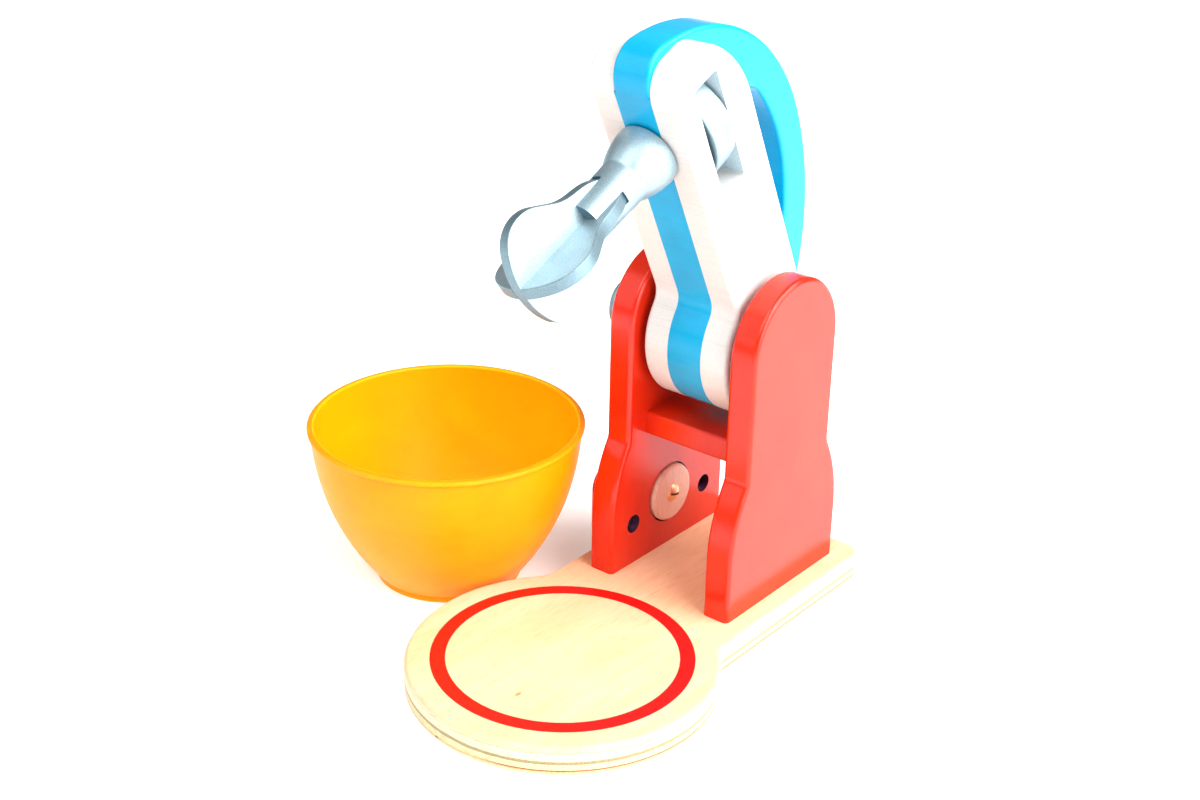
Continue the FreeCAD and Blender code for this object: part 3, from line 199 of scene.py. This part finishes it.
def lacquered_board(name, tones, grain, peel, roughness, shine):
    """Sprayed lacquer on sanded plywood, in one opaque colour.

    Its look is a saturated body colour under a clear reflection, which a spray texture 0.6 mm
    wide and the faint lines of the grain beneath break up. Peel is how far these stand out.
    """
    material, tree, shader, place = new_finish(name)
    cell = add(tree, "VectorMath", {0: place, 1: (0.0006, 0.0006, 0.0006)}, operation="DIVIDE")
    spray = add(tree, "TexNoise", {"Vector": cell, "Scale": 1.0, "Detail": 2.0})
    cell = add(tree, "VectorMath", {0: place, 1: (0.026, 0.026, 0.026)}, operation="DIVIDE")
    cloud = add(tree, "TexNoise", {"Vector": cell, "Scale": 1.0, "Detail": 2.0})
    cell = add(tree, "VectorMath", {0: place, 1: grain}, operation="DIVIDE")
    fibres = add(tree, "TexNoise", {"Vector": cell, "Scale": 1.0, "Detail": 3.0})
    tone = add(tree, "ValToRGB", {"Fac": cloud}, zip((0.32, 0.50, 0.70), tones))
    speckle = add(tree, "ValToRGB", {"Fac": spray}, [(0.30, "#EEEEEE"), (0.62, "#FFFFFF")])
    tone = add(tree, "Mix", {0: 0.6, 6: tone, 7: speckle}, data_type="RGBA", blend_type="MULTIPLY")
    streaks = add(tree, "ValToRGB", {"Fac": fibres}, [(0.34, "#F0F0F0"), (0.52, "#FFFFFF")])
    tone = add(tree, "Mix", {0: 0.5, 6: tone, 7: streaks}, data_type="RGBA", blend_type="MULTIPLY")
    lines = add(tree, "MapRange", {"Value": fibres, "From Min": 0.3, "From Max": 0.7})
    relief = add(tree, "Math", {0: lines, 1: 0.8, 2: spray}, operation="MULTIPLY_ADD")
    bump = add(tree, "Bump", {"Height": relief, "Strength": peel, "Distance": 0.00004})
    haze = add(tree, "MapRange", {"Value": cloud, "To Min": roughness + 0.04, "To Max": roughness - 0.04})
    feed(shader, {"Base Color": tone, "Roughness": haze, "Normal": bump, "IOR": 1.52,
                  "Specular IOR Level": shine})
    return material


def middle_of(piece):
    """The middle of a solid, in metres."""
    low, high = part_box(piece)
    return (low + high) / 2


def paint_shade_in_holes(sprayed, name, holes):
    """The same finish for a board with holes in it, with painted shade inside each hole.

    The counterbores and the gap round the dial's disc lie in shadow: their colour is painted near
    black as painted shade. A hole is given as the piece that lies in it, its radius and its tone.
    """
    material = sprayed.copy()
    material.name = name
    tree = material.node_tree
    place = tree.nodes["Texture Coordinate"].outputs["Object"]
    for piece, radius, tone in holes:
        off = add(tree, "VectorMath", {0: place, 1: middle_of(piece)}, operation="SUBTRACT")
        off = add(tree, "VectorMath", {0: off, 1: (0.0, 1.0, 1.0)}, operation="MULTIPLY")
        reach = add(tree, "VectorMath", {0: off}, operation="LENGTH")
        in_shaded_hole = add(tree, "Math", {0: reach, 1: radius}, operation="LESS_THAN")
        paint_over(material, in_shaded_hole, linear(tone))
    return material


upright_grain = (0.0005, 0.0005, 0.016)
red = lacquered_board("red_sprayed_lacquer_on_plywood", ("#D0230A", "#D5260A", "#DA290B"),
                      upright_grain, peel=0.6, roughness=0.18, shine=0.36)
dress(red, "right_cheek", "crossbar", "dial_plate")

# The colours in the counterbores and in the recess round the dial's disc are painted shade.
counterbore_radius, recess_radius = 0.00403, 0.01333
left_cheek_holes = [("dial_plate_screw_front", counterbore_radius, "#45243C"),
                    ("dial_plate_screw_rear", counterbore_radius, "#45243C"),
                    ("dial_disc", recess_radius, "#1C060C")]
dress(paint_shade_in_holes(red, "red_sprayed_lacquer_with_painted_hole_shade", left_cheek_holes), "left_cheek")


# ---------------------------------------------------------------------------------------------
# Head. The middle board with the grip is blue, the two side boards are white. All are sprayed
# before they are glued, so the colours meet in a crisp line at each joint. The walls of the slot
# for the thumb wheel get a cool grey: painted shade, tinted by a painted reflection of the wheel.
# ---------------------------------------------------------------------------------------------

# The head stands 26 degrees off upright, and the whisk's axis is square to it.
lean = math.radians(26.0)
across_head = Vector((1.0, 0.0, 0.0))
along_head = Vector((0.0, -math.sin(lean), math.cos(lean)))
whisk_axis = Vector((0.0, -math.cos(lean), -math.sin(lean)))


def in_slot(material, piece, sides):
    """A mask of the slot round the middle of a piece, from each direction and half size of it."""
    tree = material.node_tree
    place = tree.nodes["Texture Coordinate"].outputs["Object"]
    off = add(tree, "VectorMath", {0: place, 1: middle_of(piece)}, operation="SUBTRACT")
    inside = 1.0
    for direction, half_size in sides:
        away = add(tree, "VectorMath", {0: off, 1: direction}, operation="DOT_PRODUCT")
        within = add(tree, "Math", {0: away, 1: 0.0, 2: half_size}, operation="COMPARE")
        inside = add(tree, "Math", {0: inside, 1: within}, operation="MULTIPLY")
    return inside


def paint_slot_shade(material):
    """Painted shade on the slot's walls, tinted by the wheel's painted reflection; it stops at the slot's
    mouth.
    """
    tree = material.node_tree
    place = tree.nodes["Texture Coordinate"].outputs["Object"]
    half_length, half_width, half_depth = 0.0232, 0.00705, 0.0199
    wheel_slot = in_slot(material, "thumb_wheel", [(along_head, half_length), (whisk_axis, half_width),
                                                   (across_head, half_depth)])
    cell = add(tree, "VectorMath", {0: place, 1: (0.0005, 0.0005, 0.0005)}, operation="DIVIDE")
    flakes = add(tree, "TexNoise", {"Vector": cell, "Scale": 1.0, "Detail": 1.0})
    # The cool grey of the painted shade, broken up by a fine noise.
    silver = add(tree, "ValToRGB", {"Fac": flakes},
                 [(0.30, "#AABEC5"), (0.50, "#B6CAD1"), (0.70, "#C2D3D9")])
    paint_over(material, wheel_slot, silver)


sideways_grain = (0.024, 0.0006, 0.0006)
blue = lacquered_board("blue_sprayed_lacquer_on_plywood", ("#0497C3", "#059FCC", "#07A7D4"),
                       sideways_grain, peel=0.35, roughness=0.22, shine=0.26)
paint_slot_shade(blue)
dress(blue, "head_core")
white = lacquered_board("white_sprayed_lacquer_on_plywood", ("#D2CDC9", "#D6D1CD", "#DAD5D2"),
                        sideways_grain, peel=0.3, roughness=0.30, shine=0.5)
paint_slot_shade(white)
dress(white, "left_head_panel", "right_head_panel")


# ---------------------------------------------------------------------------------------------
# Whisk, thumb wheel and the two knobs. Turned and sawn beech with a coat of silver paint, whose
# aluminium flakes lie in a clear binder. The whisk's boards are halved into each other and glued
# into the crossed slots of the spindle.
# ---------------------------------------------------------------------------------------------

def silver_paint(name, tones, grain):
    """Aluminium-flake paint on wood: a cool grey that turns white where it faces the light.

    The flakes give a fine glitter, drawn 0.35 mm wide so that it shows, over a broad soft sheen,
    and the wood's turning or sanding marks still show as faint lines.
    """
    material, tree, shader, place = new_finish(name)
    cell = add(tree, "VectorMath", {0: place, 1: (0.00035, 0.00035, 0.00035)}, operation="DIVIDE")
    flakes = add(tree, "TexNoise", {"Vector": cell, "Scale": 1.0, "Detail": 1.0})
    cell = add(tree, "VectorMath", {0: place, 1: (0.009, 0.009, 0.009)}, operation="DIVIDE")
    cloud = add(tree, "TexNoise", {"Vector": cell, "Scale": 1.0, "Detail": 2.0})
    cell = add(tree, "VectorMath", {0: place, 1: grain}, operation="DIVIDE")
    marks = add(tree, "TexNoise", {"Vector": cell, "Scale": 1.0, "Detail": 2.0})
    tone = add(tree, "ValToRGB", {"Fac": flakes}, zip((0.30, 0.50, 0.70), tones))
    shade = add(tree, "ValToRGB", {"Fac": cloud}, [(0.30, "#EFEFEF"), (0.65, "#FFFFFF")])
    tone = add(tree, "Mix", {0: 0.8, 6: tone, 7: shade}, data_type="RGBA", blend_type="MULTIPLY")
    relief = add(tree, "Math", {0: marks, 1: 0.7, 2: flakes}, operation="MULTIPLY_ADD")
    bump = add(tree, "Bump", {"Height": relief, "Strength": 0.2, "Distance": 0.00003})
    haze = add(tree, "MapRange", {"Value": flakes, "To Min": 0.46, "To Max": 0.38})
    feed(shader, {"Base Color": tone, "Roughness": haze, "Normal": bump, "Metallic": 0.75})
    return material


def paint_facing_shade(paint, name, axis, clear, full_shade):
    """The same paint with painted shade, darker on the surfaces that face a given way.

    It goes by the cosine between the surface's normal and the axis, from clear to full_shade.
    """
    material = paint.copy()
    material.name = name
    tree = material.node_tree
    facing = tree.nodes["Texture Coordinate"].outputs["Normal"]
    lean_off = add(tree, "VectorMath", {0: facing, 1: axis}, operation="DOT_PRODUCT")
    lean_off = add(tree, "Math", {0: lean_off}, operation="ABSOLUTE")
    facing_shade = add(tree, "MapRange", {"Value": lean_off, "From Min": clear, "From Max": full_shade})
    # Painted shade: the surfaces that face the given way are multiplied by a cool grey.
    paint_over(material, facing_shade, linear("#B9C6CC"), "MULTIPLY")
    return material


turning_marks, saw_marks = (0.005, 0.005, 0.0005), (0.0006, 0.006, 0.006)
# The knobs get a darker copy of the silver paint: painted shade, for flanks in the cheek's shadow.
dress(silver_paint("silver_paint_darkened_as_shade_on_knobs", ("#788C94", "#8398A0", "#90A4AC"), turning_marks),
      "hinge_knob", "dial_knob")
turned = silver_paint("silver_paint_on_turned_beech", ("#8DA4AD", "#9AB2BB", "#A9C0C9"), turning_marks)
# Painted shade on the faces of the spindle and the wheel that face along the whisk's axis.
dress(paint_facing_shade(turned, "silver_paint_with_painted_shade_on_ends", whisk_axis, clear=0.70, full_shade=0.95),
      "whisk_spindle", "thumb_wheel")

# The boards stand 17.6 degrees round from the sides of the head. Their faces keep the plain paint
# and their sawn edges get painted shade.
board_turn = math.radians(17.6)
face_b = across_head * math.sin(board_turn) - along_head * math.cos(board_turn)
face_a = whisk_axis.cross(face_b)
sawn = silver_paint("silver_paint_on_sawn_beech", ("#98ACB3", "#A6BAC1", "#B5C8CF"), saw_marks)
dress(paint_facing_shade(sawn, "silver_paint_with_edge_shade_a", face_a, clear=0.95, full_shade=0.70), "whisk_board_a")
dress(paint_facing_shade(sawn, "silver_paint_with_edge_shade_b", face_b, clear=0.95, full_shade=0.70), "whisk_board_b")


# ---------------------------------------------------------------------------------------------
# Dial disc. A slice of beech 25 mm across, faced on the lathe, eased at its edge and given a clear
# lacquer. It sits in a recess of the left cheek and the brass screw holds it to the dial's spindle.
# ---------------------------------------------------------------------------------------------

def lacquered_beech():
    """Satin beech: warm pink-brown, with upright fibres 0.3 mm apart and small dark rays."""
    material, tree, shader, place = new_finish("clear_lacquered_beech")
    cell = add(tree, "VectorMath", {0: place, 1: (0.003, 0.0003, 0.009)}, operation="DIVIDE")
    fibres = add(tree, "TexNoise", {"Vector": cell, "Scale": 1.0, "Detail": 3.0})
    cell = add(tree, "VectorMath", {0: place, 1: (0.003, 0.0012, 0.0026)}, operation="DIVIDE")
    rays = add(tree, "TexNoise", {"Vector": cell, "Scale": 1.0, "Detail": 2.0})
    tone = add(tree, "ValToRGB", {"Fac": fibres},
               [(0.30, "#DCA993"), (0.50, "#EAB8A2"), (0.72, "#F0C4B0")])
    flecks = add(tree, "ValToRGB", {"Fac": rays}, [(0.30, "#E2CFC6"), (0.44, "#FFFFFF")])
    tone = add(tree, "Mix", {0: 0.3, 6: tone, 7: flecks}, data_type="RGBA", blend_type="MULTIPLY")
    bump = add(tree, "Bump", {"Height": fibres, "Strength": 0.25, "Distance": 0.00004})
    feed(shader, {"Base Color": tone, "Normal": bump, "Roughness": 0.34, "IOR": 1.48})
    return material


dress(lacquered_beech(), "dial_disc")


# ---------------------------------------------------------------------------------------------
# Pegs, dowels, spacers, axle and dial spindle: plain beech rod, unfinished, mostly out of sight.
# They are cut to length, pushed into their holes and glued at one end.
# ---------------------------------------------------------------------------------------------

def bare_beech():
    """Beech rod without a finish: warm pinkish tan with short dark flecks along the rod."""
    material, tree, shader, place = new_finish("bare_beech_rod")
    cell = add(tree, "VectorMath", {0: place, 1: (0.005, 0.0004, 0.0004)}, operation="DIVIDE")
    flecks = add(tree, "TexNoise", {"Vector": cell, "Scale": 1.0, "Detail": 3.0})
    tone = add(tree, "ValToRGB", {"Fac": flecks},
               [(0.30, "#A87B52"), (0.48, "#CFA67C"), (0.70, "#DDB98F")])
    bump = add(tree, "Bump", {"Height": flecks, "Strength": 0.3, "Distance": 0.00008})
    feed(shader, {"Base Color": tone, "Normal": bump, "Roughness": 0.62})
    return material


dress(bare_beech(), "hinge_peg", "hinge_spacer_left", "hinge_spacer_right", "whisk_axle", "dial_spindle",
      "crossbar_dowel_left_front", "crossbar_dowel_left_rear",
      "crossbar_dowel_right_front", "crossbar_dowel_right_rear")


# ---------------------------------------------------------------------------------------------
# Screws. A domed brass screw holds the dial's disc; zinc-plated steel screws hold the dial plate
# and the cheeks.
# ---------------------------------------------------------------------------------------------

def turned_metal(name, dark, light, roughness):
    """A screw's metal: fine scratches from the lathe and an uneven tarnish that dulls it in spots."""
    material, tree, shader, place = new_finish(name)
    cell = add(tree, "VectorMath", {0: place, 1: (0.0016, 0.0016, 0.0016)}, operation="DIVIDE")
    stains = add(tree, "TexNoise", {"Vector": cell, "Scale": 1.0, "Detail": 3.0})
    cell = add(tree, "VectorMath", {0: place, 1: (0.00015, 0.002, 0.00015)}, operation="DIVIDE")
    scratches = add(tree, "TexNoise", {"Vector": cell, "Scale": 1.0})
    tone = add(tree, "ValToRGB", {"Fac": stains}, [(0.30, dark), (0.62, light)])
    bump = add(tree, "Bump", {"Height": scratches, "Strength": 0.3, "Distance": 0.00002})
    haze = add(tree, "MapRange", {"Value": stains, "To Min": roughness + 0.1, "To Max": roughness - 0.05})
    feed(shader, {"Base Color": tone, "Roughness": haze, "Normal": bump, "Metallic": 1.0})
    return material


brass = turned_metal("brass_domed_screw", "#F2BC8C", "#FFD6AC", roughness=0.50)

# The driver's slot stands at 12 degrees and is painted dark brown as painted shade, so that it
# reads as one dark line.
slot_turn, half_width, half_length = math.radians(12.0), 0.00052, 0.0029
across_slot = (0.0, math.sin(slot_turn), math.cos(slot_turn))
along_slot = (0.0, math.cos(slot_turn), -math.sin(slot_turn))
shaded_driver_slot = in_slot(brass, "dial_screw", [(across_slot, half_width), (along_slot, half_length)])
paint_over(brass, shaded_driver_slot, linear("#86482E"))
dress(brass, "dial_screw")

dress(turned_metal("zinc_plated_steel_screw", "#6C6478", "#9490A2", roughness=0.34),
      "dial_plate_screw_front", "dial_plate_screw_rear", "cheek_screw_left_front",
      "cheek_screw_left_rear", "cheek_screw_right_front", "cheek_screw_right_rear")


# ---------------------------------------------------------------------------------------------
# Bowl. Injection-moulded polypropylene, coloured through, with a satin mould texture; it has a
# foot ring and a beaded rim and stands loose beside the plate.
# ---------------------------------------------------------------------------------------------

def moulded_yellow():
    """Satin polypropylene: an even warm yellow that glows where light passes through the wall."""
    material, tree, shader, place = new_finish("yellow_moulded_polypropylene")
    cell = add(tree, "VectorMath", {0: place, 1: (0.0005, 0.0005, 0.0005)}, operation="DIVIDE")
    mould = add(tree, "TexNoise", {"Vector": cell, "Scale": 1.0, "Detail": 2.0})
    cell = add(tree, "VectorMath", {0: place, 1: (0.034, 0.034, 0.020)}, operation="DIVIDE")
    flow = add(tree, "TexNoise", {"Vector": cell, "Scale": 1.0, "Detail": 2.0, "Distortion": 0.8})
    outer_tone = add(tree, "ValToRGB", {"Fac": flow},
                     [(0.30, "#EF8C01"), (0.50, "#F29001"), (0.72, "#F59502")])
    bump = add(tree, "Bump", {"Height": mould, "Strength": 0.22, "Distance": 0.00004})
    haze = add(tree, "MapRange", {"Value": flow, "To Min": 0.42, "To Max": 0.36})
    feed(shader, {"Base Color": outer_tone, "Roughness": haze, "Normal": bump, "IOR": 1.49,
                  "Specular IOR Level": 0.15, "Subsurface Weight": 0.6,
                  "Subsurface Radius": (0.006, 0.0035, 0.0005), "Subsurface Scale": 1.0})

    # The inside is painted a lighter tone: painted light, for the light that reaches into the bowl.
    # Inside is what lies within the curve of the side, whose centre is beyond the bowl's axis, and above
    # the underside of the floor.
    beyond_axis, centre_height, inner_radius, floor_underside = 0.0531, 0.0721, 0.1085, 0.004
    around = add(tree, "VectorMath", {0: place, 1: middle_of("bowl")}, operation="SUBTRACT")
    flat = add(tree, "VectorMath", {0: around, 1: (1.0, 1.0, 0.0)}, operation="MULTIPLY")
    out = add(tree, "VectorMath", {0: flat}, operation="LENGTH")
    out = add(tree, "Math", {0: out, 1: beyond_axis}, operation="ADD")
    up = add(tree, "SeparateXYZ", {"Vector": place}, take="Z")
    rise = add(tree, "Math", {0: up, 1: centre_height}, operation="SUBTRACT")
    from_centre = add(tree, "CombineXYZ", {"X": out, "Z": rise})
    bend = add(tree, "VectorMath", {0: from_centre}, operation="LENGTH")
    in_curve = add(tree, "Math", {0: bend, 1: inner_radius}, operation="LESS_THAN")
    above_floor = add(tree, "Math", {0: up, 1: floor_underside}, operation="GREATER_THAN")
    inside = add(tree, "Math", {0: in_curve, 1: above_floor}, operation="MULTIPLY")
    painted_light_inside = add(tree, "ValToRGB", {"Fac": flow},
                     [(0.30, "#F7AA03"), (0.50, "#FAAE03"), (0.72, "#FCB204")])
    paint_over(material, inside, painted_light_inside)
    return material


dress(moulded_yellow(), "bowl")


# ---------------------------------------------------------------------------------------------
# The studio: a white paper table that glows faintly from below, in a white tent. Two large soft
# lamps stand to the right, a weak one to the left in front, a small one lights the paper behind
# the toy, and two wide lights hang overhead.
# ---------------------------------------------------------------------------------------------

def white_paper():
    """Matt white paper on a light table: the faint glow from below takes the shadows away."""
    material, tree, shader, place = new_finish("white_background_paper")
    cell = add(tree, "VectorMath", {0: place, 1: (0.003, 0.003, 0.003)}, operation="DIVIDE")
    fibre = add(tree, "TexNoise", {"Vector": cell, "Scale": 1.0, "Detail": 3.0})
    tone = add(tree, "ValToRGB", {"Fac": fibre}, [(0.30, "#F8F9FA"), (0.70, "#FCFDFD")])
    feed(shader, {"Base Color": tone, "Roughness": 0.9, "Emission Color": linear("#FFFFFF"),
                  "Emission Strength": 0.25})
    return material


half_side, table_level = 40.0, -0.0003
corners = [(x * half_side, y * half_side, table_level) for x, y in ((-1, -1), (1, -1), (1, 1), (-1, 1))]
sheet = bpy.data.meshes.new("paper_table")
sheet.from_pydata(corners, [], [(0, 1, 2, 3)])
paper_table = bpy.data.objects.new("paper_table", sheet)
bpy.context.scene.collection.objects.link(paper_table)
paper_table.data.materials.append(white_paper())

tent = bpy.data.worlds.new("white_tent")
bpy.context.scene.world = tent
tent.use_nodes = True
feed(tent.node_tree.nodes["Background"], {"Color": linear("#FFFFFF"), "Strength": 0.28})


def soft_lamp(name, at, towards, side, power):
    """A square soft lamp at one point, turned to another."""
    lamp = bpy.data.lights.new(name, "AREA")
    lamp.shape = "SQUARE"
    lamp.size = side
    lamp.energy = power
    stand = bpy.data.objects.new(name, lamp)
    stand.location = at
    stand.rotation_euler = (Vector(towards) - Vector(at)).to_track_quat("-Z", "Y").to_euler()
    stand.visible_camera = False
    bpy.context.scene.collection.objects.link(stand)


toy, paper_behind = (0.0, 0.05, 0.10), (0.19, 0.28, 0.0)
soft_lamp("right_soft_lamp", (1.093, -0.132, 0.561), toy, 0.9, 14.0)
soft_lamp("right_back_soft_lamp", (0.959, 0.529, 0.639), toy, 0.9, 12.7)
soft_lamp("left_front_soft_lamp", (-0.731, -0.681, 0.709), toy, 0.9, 3.5)
soft_lamp("paper_lamp", (0.30, 0.45, 0.55), paper_behind, 0.3, 1.5)


def ceiling_light(name, from_direction, strength):
    """A wide even light from overhead, 40 degrees across, that also reaches the far paper."""
    lamp = bpy.data.lights.new(name, "SUN")
    lamp.energy = strength
    lamp.angle = math.radians(40.0)
    stand = bpy.data.objects.new(name, lamp)
    stand.rotation_euler = (-Vector(from_direction)).to_track_quat("-Z", "Y").to_euler()
    bpy.context.scene.collection.objects.link(stand)


ceiling_light("front_ceiling_light", (0.0, -0.6, 0.8), 1.65)
ceiling_light("right_ceiling_light", (0.6, 0.05, 0.8), 2.4)

# The camera stands in front and to the right, looks down 25 degrees, and leans by one degree.
# Its angles are in radians, its place in metres and its film and lens in millimetres.
azimuth, elevation, roll = 0.676315, 0.433503, 0.02011
eye = Vector((0.3739079, -0.4461482, 0.3892536))
film_width, focal_length = 36.0, 53.651
back = Vector((math.sin(azimuth) * math.cos(elevation),
               -math.cos(azimuth) * math.cos(elevation),
               math.sin(elevation)))
level = Vector((0, 0, 1)).cross(back).normalized()
upward = back.cross(level)
right = level * math.cos(roll) + upward * math.sin(roll)
above = upward * math.cos(roll) - level * math.sin(roll)
lens = bpy.data.cameras.new("camera")
lens.sensor_width = film_width
lens.lens = focal_length
lens.clip_start = 0.01
camera = bpy.data.objects.new("camera", lens)
camera.matrix_world = Matrix((
    (right.x, above.x, back.x, eye.x),
    (right.y, above.y, back.y, eye.y),
    (right.z, above.z, back.z, eye.z),
    (0.0, 0.0, 0.0, 1.0)))
bpy.context.scene.collection.objects.link(camera)
bpy.context.scene.camera = camera
bpy.context.scene.view_settings.view_transform = "Standard"
